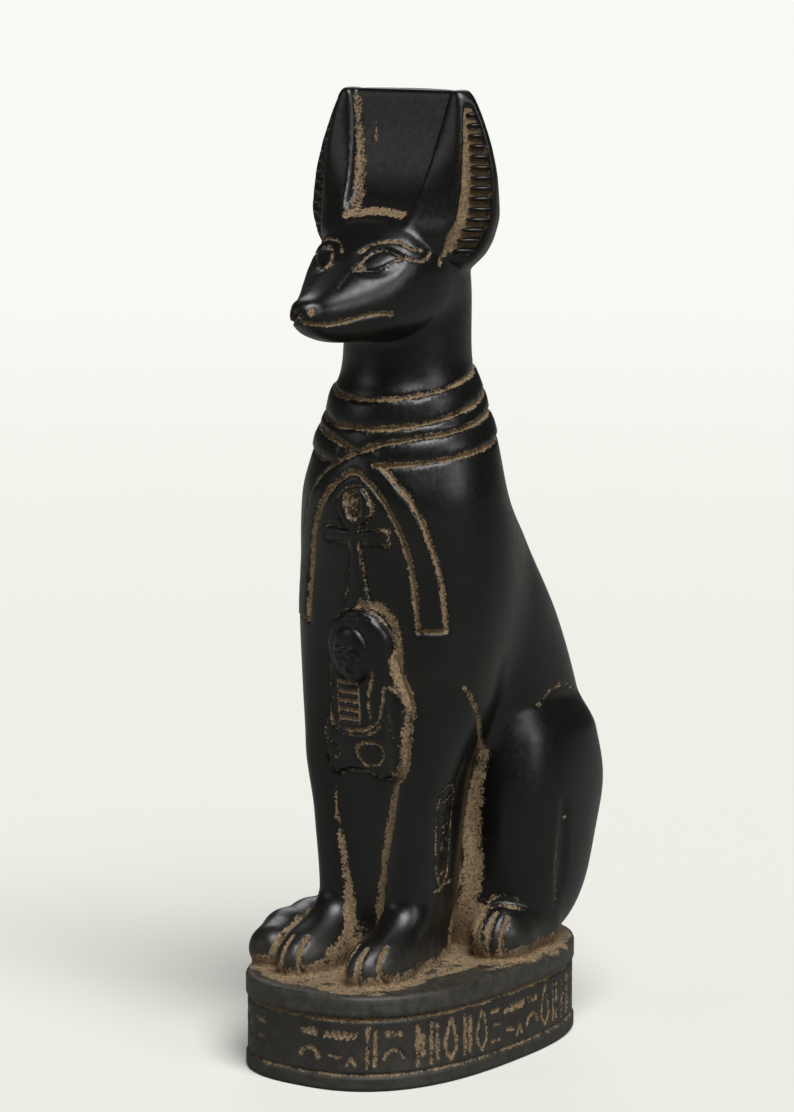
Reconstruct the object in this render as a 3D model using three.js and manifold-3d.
// Seated jackal statue, cast in one piece with its plinth.
// Millimetres, +Z up. The statue faces -Y and its own left side is +X.
// The origin is the centre of the plinth's underside.
import * as THREE from 'three';
import { LoftGeometry } from 'three/addons/geometries/LoftGeometry.js';
import { mergeVertices } from 'three/addons/utils/BufferGeometryUtils.js';
import Module from 'manifold-3d';

const wasm = await Module();
wasm.setup();

// Driving dimensions
const height = 300;
const plinth = {
  length: 123, width: 78.4, height: 29.5, power: 2.6,
  edge: 1.6, groove: 0.9, grooveDepth: 1.1, bandInset: 0.5, lowGroove: 5, highGroove: 22.2, sides: 40,
};

// Cross-sections up the body. Each is a rounded oval: its middle along Y, half its width,
// half its depth and how square it is (2 is an ellipse).
const chest = [
  { z: 29.5, y: -9, halfWidth: 15.5, halfDepth: 15, power: 2.8 },
  { z: 85, y: -7, halfWidth: 19.8, halfDepth: 18.6, power: 2.6 },
  { z: 115, y: -5, halfWidth: 30.5, halfDepth: 23.5, power: 2.2 },
  { z: 150, y: -4, halfWidth: 34.6, halfDepth: 26.3, power: 2.1 },
  { z: 175, y: -5.2, halfWidth: 32.8, halfDepth: 27, power: 2.05 },
  { z: 191.5, y: -3.4, halfWidth: 29.3, halfDepth: 24.8, power: 2 },
  { z: 204, y: -2.8, halfWidth: 23.4, halfDepth: 22.4, power: 2 },
  { z: 219, y: -3, halfWidth: 19.8, halfDepth: 19.9, power: 2 },
  { z: 240, y: -2.2, halfWidth: 19.2, halfDepth: 19.2, power: 2 },
  { z: 252, y: -2.6, halfWidth: 18, halfDepth: 17, power: 2 },
  { z: 262, y: -3, halfWidth: 12, halfDepth: 11, power: 2 },
];
const back = [
  { z: 29.5, y: 33, halfWidth: 26, halfDepth: 22, power: 3 },
  { z: 52, y: 36.5, halfWidth: 32.8, halfDepth: 28, power: 3 },
  { z: 80, y: 40, halfWidth: 36.4, halfDepth: 28.6, power: 3.2 },
  { z: 96, y: 39.2, halfWidth: 34.8, halfDepth: 27.8, power: 3 },
  { z: 109, y: 36, halfWidth: 30.5, halfDepth: 28, power: 2.5 },
  { z: 135, y: 22, halfWidth: 30.5, halfDepth: 32.4, power: 2.25 },
  { z: 160, y: 8, halfWidth: 29.2, halfDepth: 31, power: 2.1 },
  { z: 187, y: -2, halfWidth: 22, halfDepth: 23, power: 2 },
  { z: 205, y: -3, halfWidth: 18, halfDepth: 19.5, power: 2 },
];
const foreleg = [
  { z: 29.5, x: 12.8, y: -19.5, halfWidth: 6.8, halfDepth: 9.3, power: 2.5 },
  { z: 50, x: 12.6, y: -19, halfWidth: 6.6, halfDepth: 8.5, power: 2.5 },
  { z: 76, x: 15, y: -18, halfWidth: 6.6, halfDepth: 9.2, power: 2.4 },
  { z: 97, x: 17.6, y: -16.4, halfWidth: 7.8, halfDepth: 11.2, power: 2.3 },
  { z: 125, x: 17.5, y: -11, halfWidth: 11.5, halfDepth: 15, power: 2.1 },
  { z: 150, x: 15, y: -8, halfWidth: 14, halfDepth: 16, power: 2 },
  { z: 172, x: 10, y: -5, halfWidth: 9, halfDepth: 12, power: 2 },
];

// The head's cross-sections from the nose back: half its width, its top and its underside.
const head = [
  { y: -59.6, halfWidth: 0.5, top: 235.9, bottom: 234.4, power: 2 },
  { y: -58.8, halfWidth: 3.2, top: 237.6, bottom: 232, power: 2.2 },
  { y: -56.5, halfWidth: 5.2, top: 239, bottom: 230.2, power: 2.4 },
  { y: -52, halfWidth: 7.3, top: 240.4, bottom: 227.6, power: 2.4 },
  { y: -42, halfWidth: 12.8, top: 245.6, bottom: 225.2, power: 2.3 },
  { y: -36, halfWidth: 16.2, top: 249.4, bottom: 224.9, power: 2.3 },
  { y: -30, halfWidth: 18.8, top: 254.6, bottom: 224.8, power: 2.4 },
  { y: -23, halfWidth: 20.6, top: 260.2, bottom: 224.6, power: 2.5 },
  { y: -14, halfWidth: 21.6, top: 262.5, bottom: 225, power: 2.4 },
  { y: 2, halfWidth: 18.5, top: 262, bottom: 229, power: 2.2 },
  { y: 13, halfWidth: 8, top: 256, bottom: 234, power: 2 },
];

// The line of the mouth along both cheeks, and the almond of the eye seen from the front.
const mouth = {
  front: { y: -60, z: 232.6 }, dip: { y: -52, z: 231.6 }, rear: { y: -35.4, z: 234 }, open: 1, depth: 1,
};
const eye = { inner: { x: 5.4, z: 246.6 }, outer: { x: 16, z: 250.6 }, lift: 3.4, drop: 2.4, height: 0.8 };

// The panel between the ears: its front and back faces at each height.
const crest = [
  { z: 240, front: -20, back: 11, halfWidth: 11 },
  { z: 258, front: -22, back: 12.4, halfWidth: 12 },
  { z: 262, front: -19.5, back: 12, halfWidth: 12.6 },
  { z: 268, front: -13, back: 10.8, halfWidth: 14 },
  { z: 281, front: -8, back: 8.2, halfWidth: 17 },
  { z: height, front: -4.4, back: 4.6, halfWidth: 19.5 },
];

// Four edges of an upright ear, all seen in plan: the ridge beside the crest, the rim of the hollow,
// the outer edge and how far back the ear reaches.
const ear = [
  { z: 240, ridgeX: 12, ridgeY: -12, rimX: 14, rimY: -12, outerX: 15.5, outerY: -6, back: 4 },
  { z: 246, ridgeX: 13, ridgeY: -19, rimX: 20, rimY: -16, outerX: 24, outerY: -8.6, back: 8 },
  { z: 251, ridgeX: 12.6, ridgeY: -21.8, rimX: 21.8, rimY: -17.4, outerX: 29, outerY: -7.3, back: 10 },
  { z: 256, ridgeX: 11.8, ridgeY: -22.6, rimX: 22.6, rimY: -17, outerX: 32, outerY: -7, back: 9.8 },
  { z: 263, ridgeX: 12.4, ridgeY: -19.6, rimX: 24.4, rimY: -14.2, outerX: 33.9, outerY: -6.4, back: 8.8 },
  { z: 272, ridgeX: 13.6, ridgeY: -14.9, rimX: 24.8, rimY: -12.6, outerX: 33.4, outerY: -5.6, back: 6.8 },
  { z: 281, ridgeX: 14.9, ridgeY: -11.5, rimX: 24.5, rimY: -11.3, outerX: 31.6, outerY: -5, back: 5 },
  { z: 290, ridgeX: 16.5, ridgeY: -9, rimX: 23.6, rimY: -9.6, outerX: 28.4, outerY: -4.7, back: 3.6 },
  { z: 297, ridgeX: 17.9, ridgeY: -7.6, rimX: 22.6, rimY: -7.9, outerX: 25, outerY: -4.7, back: 2.6 },
  { z: height, ridgeX: 19, ridgeY: -7, rimX: 21.6, rimY: -7, outerX: 22.6, outerY: -4.7, back: 1.8 },
];
const earHollow = { from: 248, to: 296, rimThickness: 1.5, depth: 3.4, ridges: 11, ridgeHeight: 1.1 };

const haunch = { x: 22.5, y: 34.5, z: 70, halfWidth: 15.2, halfDepth: 23, halfHeight: 39, power: 2.3 };
const hock = { x: 38.6, y: 29, low: 38, high: 76, radius: 3.2 };
const forepaw = { x: 13.2, y: -35, z: 33.5, halfWidth: 8.8, halfDepth: 15.3, halfHeight: 9.5 };
const wrist = { x: 13, low: { y: -35, z: 35 }, high: { y: -22, z: 45 }, radius: 7.4 };
const hindPaw = { x: 25.5, y: 12.5, z: 35, halfWidth: 9.6, halfDepth: 11.5, halfHeight: 8.8 };
const hindFoot = { x: 25.5, front: 12, rear: 30, z: 36.5, radius: 8.6 };
const toes = { spacing: 5.2, groove: 1.4, depth: 2.2 };

// The tail lies along the statue's right side: centre and radius at each turn.
const tail = [
  { x: -8, y: 46, z: 42, radius: 10 },
  { x: -22, y: 42, z: 39, radius: 9 },
  { x: -30.4, y: 30, z: 37, radius: 8 },
  { x: -31.2, y: 8, z: 36.5, radius: 7.8 },
  { x: -30.6, y: -12, z: 36.3, radius: 8 },
  { x: -29.6, y: -26, z: 35.8, radius: 8 },
  { x: -26.5, y: -38, z: 34.5, radius: 7.5 },
];

// Raised work on the chest. Heights are on the statue, widths to either side of its middle.
const relief = { depth: 1.1, front: -60, rear: -6, sides: 30 };
const collar = {
  bands: [
    { low: 198.6, high: 206.4, rise: 0.22, depth: 0.9 },
    { low: 192.6, high: 197.2, rise: 0.25, depth: 1.3 },
    { low: 187.2, high: 191.4, rise: 0.22, depth: 0.9 },
  ],
  frontY: -27,
};
const sash = { top: 187.4, bottom: 137, outerHalf: 27.4, innerHalf: 20.6, innerTop: 184.6 };
const ankh = { x: 0.6, loopZ: 174.4, loopWide: 6.3, loopHigh: 6.4, holeWide: 2.8, holeHigh: 4.2 };
const ankhBar = { z: 165.6, halfWidth: 11.6, halfHeight: 2, bottom: 144.4, stemTop: 2, stemBottom: 5.2 };
const mask = { x: 1, z: 131, halfWidth: 11.8, halfHeight: 12, bottom: 92, baseHalf: 14.2, sideTop: 114 };

// How softly the parts of the figure run into each other.
const blend = { back: 10, backTop: 4, leg: 6, legTop: 8, hock: 2, wrist: 5, ankle: 3 };
const shoulderTop = 204;

const stone = new THREE.MeshStandardMaterial({ color: 0x1b1a1b, roughness: 0.38, metalness: 0 });

// Smooth values between stations
function slopes(stations, axis, name) {
  const steps = stations.slice(1).map((next, i) => {
    const before = stations[i];
    return (next[name] - before[name]) / (next[axis] - before[axis]);
  });
  return stations.map((station, i) => {
    if (i === 0) return steps[0];
    if (i === stations.length - 1) return steps[i - 1];
    const before = steps[i - 1];
    const after = steps[i];
    return before * after > 0 ? (2 * before * after) / (before + after) : 0;
  });
}

function profile(stations, axis, name) {
  const slope = slopes(stations, axis, name);
  const first = stations[0][axis];
  const last = stations[stations.length - 1][axis];
  return (at) => {
    const t = Math.min(Math.max(at, first), last);
    let i = 0;
    while (i < stations.length - 2 && t > stations[i + 1][axis]) i += 1;
    const span = stations[i + 1][axis] - stations[i][axis];
    const u = (t - stations[i][axis]) / span;
    const rest = 1 - u;
    const ends = stations[i][name] * (1 + 2 * u) * rest * rest + stations[i + 1][name] * (3 - 2 * u) * u * u;
    return ends + span * u * rest * (slope[i] * rest - slope[i + 1] * u);
  };
}

function profiles(stations, axis, names) {
  return Object.fromEntries(names.map((name) => [name, profile(stations, axis, name)]));
}

// Distance fields: negative inside, about the distance in millimetres near the surface
function join(a, b, radius) {
  const near = Math.max(radius - Math.abs(a - b), 0) / radius;
  return Math.min(a, b) - near * near * radius * 0.25;
}

function clip(a, b, radius) {
  return -join(-a, -b, radius);
}

function superoval(u, v, halfU, halfV, power) {
  const a = Math.abs(u / halfU) + 1e-9;
  const b = Math.abs(v / halfV) + 1e-9;
  const sum = a ** power + b ** power;
  const steepness = Math.hypot(a ** (power - 1) / halfU, b ** (power - 1) / halfV) * sum ** (1 / power - 1);
  return (sum ** (1 / power) - 1) / Math.max(steepness, 1e-6);
}

function blob(u, v, w, { halfWidth, halfDepth, halfHeight, power = 2 }) {
  const a = Math.abs(u / halfWidth) + 1e-6;
  const b = Math.abs(v / halfDepth) + 1e-6;
  const c = Math.abs(w / halfHeight) + 1e-6;
  const sum = a ** power + b ** power + c ** power;
  const q = power - 1;
  const steepness = Math.hypot(a ** q / halfWidth, b ** q / halfDepth, c ** q / halfHeight) * sum ** (1 / power - 1);
  return (sum ** (1 / power) - 1) / Math.max(steepness, 1e-6);
}

function rod(x, y, z, p, q, startRadius, endRadius) {
  const d = { x: q.x - p.x, y: q.y - p.y, z: q.z - p.z };
  const along = (x - p.x) * d.x + (y - p.y) * d.y + (z - p.z) * d.z;
  const t = Math.min(Math.max(along / (d.x * d.x + d.y * d.y + d.z * d.z), 0), 1);
  const gap = Math.hypot(x - p.x - t * d.x, y - p.y - t * d.y, z - p.z - t * d.z);
  return gap - startRadius - (endRadius - startRadius) * t;
}

function column(stations) {
  const at = profiles(stations, 'z', ['y', 'halfWidth', 'halfDepth', 'power']);
  return (x, y, z) => superoval(x, y - at.y(z), at.halfWidth(z), at.halfDepth(z), at.power(z));
}

const chestColumn = column(chest);
const backColumn = column(back);
const foreAt = profiles(foreleg, 'z', ['x', 'y', 'halfWidth', 'halfDepth', 'power']);
const headAt = profiles(head, 'y', ['halfWidth', 'top', 'bottom', 'power']);

function forelegColumn(x, y, z) {
  const side = Math.abs(x) - foreAt.x(z);
  const leg = superoval(side, y - foreAt.y(z), foreAt.halfWidth(z), foreAt.halfDepth(z), foreAt.power(z));
  return clip(leg, z - foreleg[foreleg.length - 1].z, blend.legTop);
}

function haunchBlob(x, y, z) {
  const bulk = blob(x - haunch.x, y - haunch.y, z - haunch.z, haunch);
  const low = { x: hock.x, y: hock.y, z: hock.low };
  const high = { x: hock.x, y: hock.y, z: hock.high };
  return clip(bulk, -rod(x, y, z, low, high, hock.radius, hock.radius * 0.6), blend.hock);
}

function body(x, y, z) {
  const trunk = join(chestColumn(x, y, z), clip(backColumn(x, y, z), z - shoulderTop, blend.backTop), blend.back);
  return join(trunk, forelegColumn(x, y, z), blend.leg);
}

function headShape(x, y, z) {
  const top = headAt.top(y);
  const bottom = headAt.bottom(y);
  return superoval(x, z - (top + bottom) / 2, headAt.halfWidth(y), (top - bottom) / 2, headAt.power(y));
}

function forefoot(x, y, z) {
  const paw = blob(x - forepaw.x, y - forepaw.y, z - forepaw.z, forepaw);
  const low = { x: wrist.x, ...wrist.low };
  const high = { x: wrist.x, ...wrist.high };
  return join(paw, rod(x, y, z, low, high, wrist.radius, wrist.radius), blend.wrist);
}

function hindfoot(x, y, z) {
  const paw = blob(x - hindPaw.x, y - hindPaw.y, z - hindPaw.z, hindPaw);
  const front = { x: hindFoot.x, y: hindFoot.front, z: hindFoot.z };
  const rear = { x: hindFoot.x, y: hindFoot.rear, z: hindFoot.z };
  return join(paw, rod(x, y, z, front, rear, hindFoot.radius, hindFoot.radius), blend.ankle);
}

// Points on a field's surface
function outermost(field, from, direction, reach, offset = 0) {
  const value = (r) => field(from.x + direction.x * r, from.y + direction.y * r, from.z + direction.z * r) - offset;
  const step = 1.5;
  let r = reach;
  while (r > step && value(r) > 0) r -= step;
  let inside = r;
  let outside = r + step;
  for (let i = 0; i < 14; i += 1) {
    const middle = (inside + outside) / 2;
    if (value(middle) > 0) outside = middle;
    else inside = middle;
  }
  return new THREE.Vector3().copy(direction).multiplyScalar(inside).add(from);
}

// Solids
function solid(geometry) {
  const plain = new THREE.BufferGeometry();
  plain.setAttribute('position', geometry.attributes.position);
  plain.setIndex(geometry.index);
  const merged = mergeVertices(plain, 1e-4);
  const vertProperties = new Float32Array(merged.attributes.position.array);
  const triVerts = new Uint32Array(merged.index.array);
  return new wasm.Manifold(new wasm.Mesh({ numProp: 3, vertProperties, triVerts }));
}

function loft(sections) {
  return solid(new LoftGeometry(sections, { capStart: true, capEnd: true }));
}

function levels(low, high, count) {
  return Array.from({ length: count + 1 }, (_, i) => low + ((high - low) * i) / count);
}

// Upright loft whose rings are the field's outline at each height
function standing(field, heights, middleY, sides, offset = 0) {
  const sections = heights.map((z) => {
    const from = new THREE.Vector3(0, middleY(z), z);
    return levels(0, 2 * Math.PI, sides).slice(0, sides).map((angle) => {
      const turn = angle + Math.PI / sides;
      const direction = new THREE.Vector3(Math.cos(turn), Math.sin(turn), 0);
      return outermost(field, from, direction, 75, offset);
    });
  });
  return loft(sections);
}

// Ball whose points are moved out to the field's surface
function swollen(field, centre, around, down) {
  const ball = new THREE.SphereGeometry(1, around, down);
  const points = ball.attributes.position;
  for (let i = 0; i < points.count; i += 1) {
    const direction = new THREE.Vector3().fromBufferAttribute(points, i).normalize();
    const place = outermost(field, centre, direction, 45);
    points.setXYZ(i, place.x, place.y, place.z);
  }
  return solid(ball);
}

function mirrored(shape) {
  return shape.add(shape.mirror([1, 0, 0]));
}

function superovalRing(halfLength, halfWidth, z) {
  return levels(0, 2 * Math.PI, plinth.sides).slice(0, plinth.sides).map((angle) => {
    const c = Math.cos(angle);
    const s = Math.sin(angle);
    const x = Math.sign(c) * halfWidth * Math.abs(c) ** (2 / plinth.power);
    const y = Math.sign(s) * halfLength * Math.abs(s) ** (2 / plinth.power);
    return new THREE.Vector3(x, y, z);
  });
}

function makePlinth() {
  const { edge, groove, grooveDepth, bandInset, lowGroove, highGroove } = plinth;
  const outline = [
    [0, edge * 0.5],
    [edge * 0.5, 0],
    [lowGroove - groove, 0],
    [lowGroove, grooveDepth],
    [lowGroove + groove, bandInset],
    [highGroove - groove, bandInset],
    [highGroove, grooveDepth],
    [highGroove + groove, 0],
    [plinth.height - edge, 0],
    [plinth.height - edge * 0.3, edge * 0.25],
    [plinth.height, edge],
  ];
  const { length, width } = plinth;
  return loft(outline.map(([z, inset]) => superovalRing(length / 2 - inset, width / 2 - inset, z)));
}

const bodyHeights = [
  26, 36, 46, 58, 70, 84, ...levels(96, 116, 4), ...levels(122, 206, 11), 213, 222, 236, 246, 254, 261,
];
const bodySides = 32;

function bodyMiddle(z) {
  return THREE.MathUtils.mapLinear(Math.min(Math.max(z, 60), 180), 60, 180, 14, -3);
}

function makeBody() {
  return standing(body, bodyHeights, bodyMiddle, bodySides);
}

function makeHaunch() {
  return swollen(haunchBlob, new THREE.Vector3(haunch.x, haunch.y, haunch.z), 20, 12);
}

// Slab of the swollen chest between two tilted planes
function collarBand(band) {
  const shell = standing(body, levels(183, 219, 5), bodyMiddle, 26, band.depth);
  const half = 60;
  const slab = new THREE.BoxGeometry(2 * half, 2 * half, band.high - band.low);
  slab.rotateX(Math.atan(band.rise));
  slab.translate(0, collar.frontY, (band.low + band.high) / 2);
  return shell.intersect(solid(slab));
}

// Flat shape in X and Z pressed onto the swollen chest
function pressed(shape, depth, low, high) {
  const reach = relief.rear - relief.front;
  const plate = new THREE.ExtrudeGeometry(shape, { depth: reach, bevelEnabled: false, curveSegments: 5 });
  plate.rotateX(Math.PI / 2);
  plate.translate(0, relief.rear, 0);
  const heights = levels(low, high, Math.ceil((high - low) / 12));
  const shell = standing(body, heights, bodyMiddle, relief.sides, depth);
  return shell.intersect(solid(plate));
}

function ovalPath(x, z, halfWidth, halfHeight) {
  const path = new THREE.Path();
  path.absellipse(x, z, halfWidth, halfHeight, 0, 2 * Math.PI);
  return path;
}

function sashShape() {
  const { top, bottom, outerHalf, innerHalf, innerTop } = sash;
  const arch = new THREE.Shape();
  arch.moveTo(-outerHalf, bottom);
  arch.bezierCurveTo(-outerHalf + 0.6, 168, -20, top - 6, -6, top);
  arch.lineTo(6, top);
  arch.bezierCurveTo(20, top - 6, outerHalf - 0.6, 168, outerHalf, bottom);
  arch.lineTo(innerHalf, bottom);
  arch.bezierCurveTo(innerHalf - 1.5, 166, 13, innerTop - 3, 0, innerTop);
  arch.bezierCurveTo(-13, innerTop - 3, -innerHalf + 1.5, 166, -innerHalf, bottom);
  arch.closePath();
  return arch;
}

function ankhShape() {
  const { x, loopZ, loopWide, loopHigh, holeWide, holeHigh } = ankh;
  const { z, halfWidth, halfHeight, bottom, stemTop, stemBottom } = ankhBar;
  const figure = new THREE.Shape();
  figure.moveTo(x - stemBottom, bottom);
  figure.lineTo(x + stemBottom, bottom);
  figure.quadraticCurveTo(x + stemTop, (bottom + z) / 2, x + stemTop, z - halfHeight);
  figure.lineTo(x + halfWidth, z - halfHeight);
  figure.lineTo(x + halfWidth, z + halfHeight);
  figure.lineTo(x + 2.4, z + halfHeight);
  figure.absellipse(x, loopZ, loopWide, loopHigh, -1.1, Math.PI + 1.1);
  figure.lineTo(x - 2.4, z + halfHeight);
  figure.lineTo(x - halfWidth, z + halfHeight);
  figure.lineTo(x - halfWidth, z - halfHeight);
  figure.lineTo(x - stemTop, z - halfHeight);
  figure.quadraticCurveTo(x - stemTop, (bottom + z) / 2, x - stemBottom, bottom);
  figure.holes.push(ovalPath(x, loopZ + 0.4, holeWide, holeHigh));
  return figure;
}

function maskShape() {
  const { x, z, halfWidth, halfHeight, bottom, baseHalf, sideTop } = mask;
  const figure = new THREE.Shape();
  figure.moveTo(x - baseHalf + 3, bottom - 2);
  figure.lineTo(x + baseHalf - 3, bottom - 2);
  figure.quadraticCurveTo(x + baseHalf, bottom - 1, x + baseHalf, bottom + 3);
  figure.lineTo(x + baseHalf + 1.8, sideTop - 10);
  figure.lineTo(x + baseHalf + 2.6, sideTop);
  figure.lineTo(x + halfWidth + 0.6, z - 8);
  figure.absellipse(x, z, halfWidth, halfHeight, 0, Math.PI);
  figure.lineTo(x - halfWidth, sideTop - 6);
  figure.lineTo(x - baseHalf, sideTop - 10);
  figure.lineTo(x - baseHalf, bottom + 3);
  figure.quadraticCurveTo(x - baseHalf, bottom - 1, x - baseHalf + 3, bottom - 2);
  return figure;
}

function makeChestRelief() {
  const band = collar.bands.map(collarBand).reduce((sum, next) => sum.add(next));
  return band
    .add(pressed(sashShape(), relief.depth, 130, 190))
    .add(pressed(ankhShape(), relief.depth + 0.4, 140, 184))
    .add(pressed(maskShape(), relief.depth + 1, 86, 146));
}

// Head: sections taken from the nose back
function headLoft(offset = 0) {
  const stations = [-59.4, -58.4, -56.5, -53, -49, ...levels(-44, 6, 10), 12];
  const sides = 19;
  const sections = stations.map((y) => {
    const from = new THREE.Vector3(0, y, (headAt.top(y) + headAt.bottom(y)) / 2);
    return levels(0, 2 * Math.PI, sides).slice(0, sides).map((angle) => {
      const turn = angle + Math.PI / sides;
      const direction = new THREE.Vector3(-Math.cos(turn), 0, Math.sin(turn));
      return outermost(headShape, from, direction, 45, offset);
    });
  });
  return loft(sections);
}

// Slit along both cheeks, as deep as the head stands over a shrunken one
function mouthSlit() {
  const { front, dip, rear, open } = mouth;
  const lip = new THREE.Shape();
  lip.moveTo(front.y, front.z - open / 2);
  lip.quadraticCurveTo(dip.y, dip.z - open / 2, rear.y, rear.z - open / 4);
  lip.lineTo(rear.y, rear.z + open / 4);
  lip.quadraticCurveTo(dip.y, dip.z + open / 2, front.y, front.z + open / 2);
  const slit = new THREE.ExtrudeGeometry(lip, { depth: 60, bevelEnabled: false, curveSegments: 4 });
  slit.translate(0, 0, -30);
  slit.applyMatrix4(new THREE.Matrix4().makeBasis(
    new THREE.Vector3(0, 1, 0), new THREE.Vector3(0, 0, 1), new THREE.Vector3(1, 0, 0),
  ));
  return solid(slit).subtract(headLoft(-mouth.depth));
}

// Almond eye, pressed on the brow from the front
function almondEye() {
  const { inner, outer, lift, drop } = eye;
  const middle = { x: (inner.x + outer.x) / 2, z: (inner.z + outer.z) / 2 };
  const almond = new THREE.Shape();
  almond.moveTo(inner.x, inner.z);
  almond.quadraticCurveTo(middle.x, middle.z - 2 * drop, outer.x, outer.z);
  almond.quadraticCurveTo(middle.x, middle.z + 2 * lift, inner.x, inner.z);
  const plate = new THREE.ExtrudeGeometry(almond, { depth: 30, bevelEnabled: false, curveSegments: 5 });
  plate.rotateX(Math.PI / 2);
  plate.translate(0, -16, 0);
  return headLoft(eye.height).intersect(solid(plate));
}

function makeHead() {
  return headLoft().subtract(mouthSlit()).add(mirrored(almondEye()));
}

function makeCrest() {
  const at = profiles(crest, 'z', ['front', 'back', 'halfWidth']);
  const lip = 0.6;
  return loft([240, 250, 258, 262, 267, 274, 286, height - lip].map((z) => {
    const half = at.halfWidth(z);
    const backHalf = half * 0.6;
    return [
      new THREE.Vector3(-half, at.front(z), z),
      new THREE.Vector3(half, at.front(z), z),
      new THREE.Vector3(half, at.back(z) - 5, z),
      new THREE.Vector3(backHalf, at.back(z), z),
      new THREE.Vector3(-backHalf, at.back(z), z),
      new THREE.Vector3(-half, at.back(z) - 5, z),
    ];
  }));
}

const earAt = profiles(ear, 'z', ['ridgeX', 'ridgeY', 'rimX', 'rimY', 'outerX', 'outerY', 'back']);

function earSection(z) {
  const ridge = new THREE.Vector2(earAt.ridgeX(z), earAt.ridgeY(z));
  const rim = new THREE.Vector2(earAt.rimX(z), earAt.rimY(z));
  const outer = new THREE.Vector2(earAt.outerX(z), earAt.outerY(z));
  return { ridge, rim, outer, back: earAt.back(z) };
}

function earSolid() {
  const sections = [240, 246, 251, 256, 263, 272, 281, 290, 296, height - 0.6, height].map((z) => {
    const { ridge, rim, outer, back: rear } = earSection(z);
    const swell = new THREE.Vector2().lerpVectors(ridge, rim, 0.5).add(new THREE.Vector2(0.5, -1));
    const shoulder = new THREE.Vector2(outer.x - 3, outer.y + 4.8);
    const rearEdge = new THREE.Vector2((outer.x + ridge.x) / 2, rear);
    const inner = new THREE.Vector2(ridge.x, rear);
    return [ridge, swell, rim, outer, shoulder, rearEdge, inner].map((p) => new THREE.Vector3(p.x, p.y, z));
  });
  return loft(sections);
}

// The hollow's plan at one height, from just inside the rim to just inside the outer edge
function hollowPlan(z, reach) {
  const { rim, outer } = earSection(z);
  const across = new THREE.Vector2().subVectors(outer, rim).normalize();
  const inward = new THREE.Vector2(-across.y, across.x);
  const start = rim.clone().addScaledVector(across, earHollow.rimThickness);
  const end = outer.clone().addScaledVector(across, -earHollow.rimThickness);
  const place = (p, depth) => new THREE.Vector3(p.x + inward.x * depth, p.y + inward.y * depth, z);
  const middle = new THREE.Vector2().lerpVectors(start, end, 0.45);
  return [place(start, -4), place(end, -4), place(end, reach * 0.3), place(middle, reach), place(start, reach * 0.7)];
}

function earCut() {
  return loft(levels(earHollow.from, earHollow.to, 7).map((z) => {
    const near = Math.min(z - earHollow.from, earHollow.to - z) / 6;
    return hollowPlan(z, earHollow.depth * Math.min(near + 0.2, 1));
  }));
}

// Small bars across the outer half of the hollow
function earRidges() {
  const pitch = (earHollow.to - earHollow.from - 6) / earHollow.ridges;
  const bars = levels(0, earHollow.ridges - 1, earHollow.ridges - 1).map((i) => {
    const z = earHollow.from + 4 + pitch * (i + 0.5);
    const [, , end, middle] = hollowPlan(z, earHollow.depth);
    const bar = new THREE.BoxGeometry(end.distanceTo(middle) + 2, 4, pitch * 0.45);
    const turn = Math.atan2(end.y - middle.y, end.x - middle.x);
    bar.translate(0, 2 - earHollow.ridgeHeight, 0);
    bar.rotateZ(turn);
    bar.translate((end.x + middle.x) / 2, (end.y + middle.y) / 2, z);
    return solid(bar);
  });
  return bars.reduce((sum, next) => sum.add(next));
}

function makeEar() {
  const whole = earSolid();
  return whole.subtract(earCut()).add(whole.intersect(earRidges()));
}

// Grooves between the toes of a paw, cut as thin upright slots
function toeGrooves(centreX, frontY, count) {
  const slots = levels(0, count - 1, count - 1).map((i) => {
    const x = centreX + (i - (count - 1) / 2) * toes.spacing;
    const slot = new THREE.CylinderGeometry(9, 9, toes.groove, 10);
    slot.rotateZ(Math.PI / 2);
    slot.translate(x, frontY - 9 + toes.depth + 1.2, plinth.height + 6);
    return solid(slot);
  });
  return slots.reduce((sum, next) => sum.add(next));
}

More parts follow.
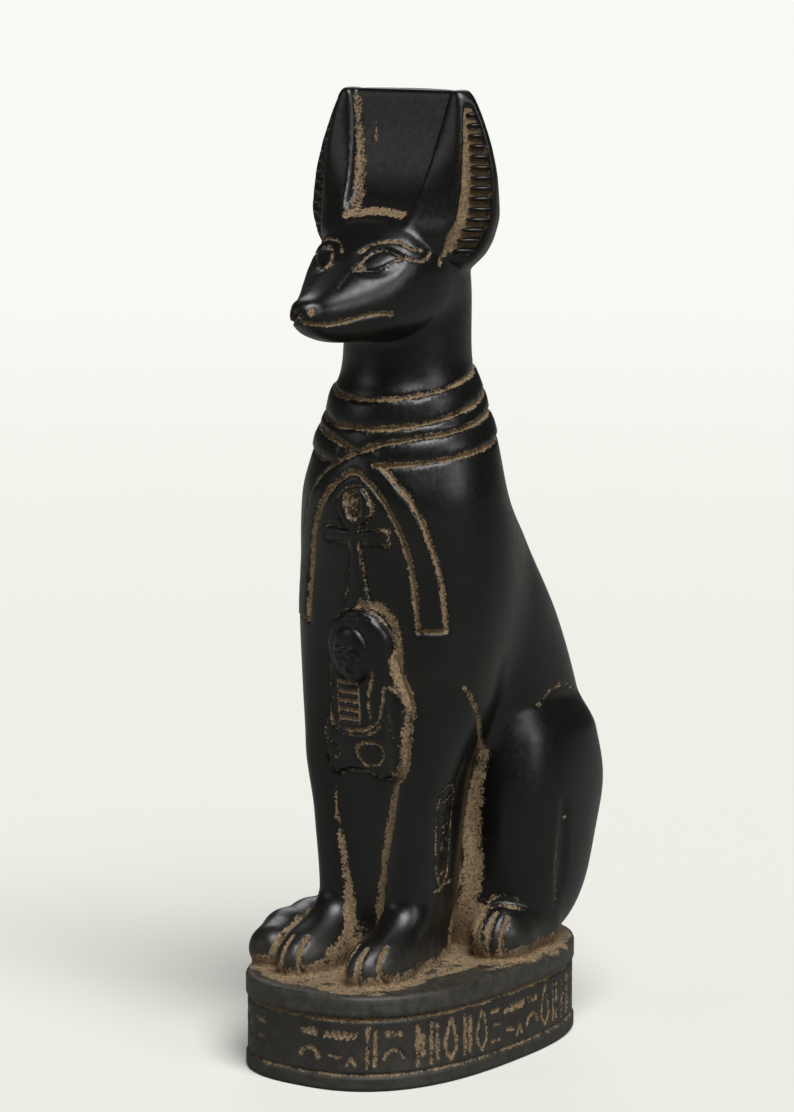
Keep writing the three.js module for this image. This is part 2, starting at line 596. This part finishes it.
function makeForefoot() {
  const centre = new THREE.Vector3(forepaw.x, forepaw.y + 6, forepaw.z + 2);
  return swollen(forefoot, centre, 14, 9).subtract(toeGrooves(forepaw.x, -47, 3));
}

function makeHindfoot() {
  const centre = new THREE.Vector3(hindPaw.x, 20, hindPaw.z);
  return swollen(hindfoot, centre, 14, 9).subtract(toeGrooves(hindPaw.x + 0.5, 3, 3));
}

function makeTail() {
  const route = new THREE.CatmullRomCurve3(tail.map((p) => new THREE.Vector3(p.x, p.y, p.z)));
  const stations = tail.map((p, i) => ({ t: i / (tail.length - 1), radius: p.radius }));
  const reach = profile(stations, 't', 'radius');
  const sides = 9;
  const rows = levels(0, 1, 12).map((t) => {
    const centre = route.getPoint(t);
    const tangent = route.getTangent(t);
    const across = new THREE.Vector3(tangent.y, -tangent.x, 0).normalize();
    const up = new THREE.Vector3().crossVectors(across, tangent);
    return levels(0, 2 * Math.PI, sides).slice(0, sides).map((angle) => new THREE.Vector3()
      .copy(centre)
      .addScaledVector(across, Math.cos(angle) * reach(t))
      .addScaledVector(up, -Math.sin(angle) * reach(t)));
  });
  const tip = tail[tail.length - 1];
  const cap = new THREE.SphereGeometry(tip.radius, 10, 6);
  cap.translate(tip.x, tip.y, tip.z);
  return loft(rows).add(solid(cap));
}

// Keeps what stands above a level
function above(shape, z) {
  const block = new THREE.BoxGeometry(200, 200, 400);
  block.translate(0, 0, z + 200);
  return shape.intersect(solid(block));
}

function makeStatue() {
  const feet = mirrored(makeForefoot().add(makeHindfoot()).add(makeHaunch())).add(makeTail());
  const top = makeHead().add(makeCrest()).add(mirrored(makeEar()));
  const figure = makeBody().add(makeChestRelief()).add(feet).add(top);
  return makePlinth().add(above(figure, plinth.height - 4));
}

function geometryOf(shape) {
  const { vertProperties, triVerts } = shape.getMesh();
  const geometry = new THREE.BufferGeometry();
  geometry.setAttribute('position', new THREE.BufferAttribute(vertProperties, 3));
  geometry.setIndex(new THREE.BufferAttribute(triVerts, 1));
  geometry.computeVertexNormals();
  return geometry;
}

const statue = new THREE.Mesh(geometryOf(makeStatue()), stone);
statue.name = 'anubis_statue';

const group = new THREE.Group();
group.add(statue);

export default group;
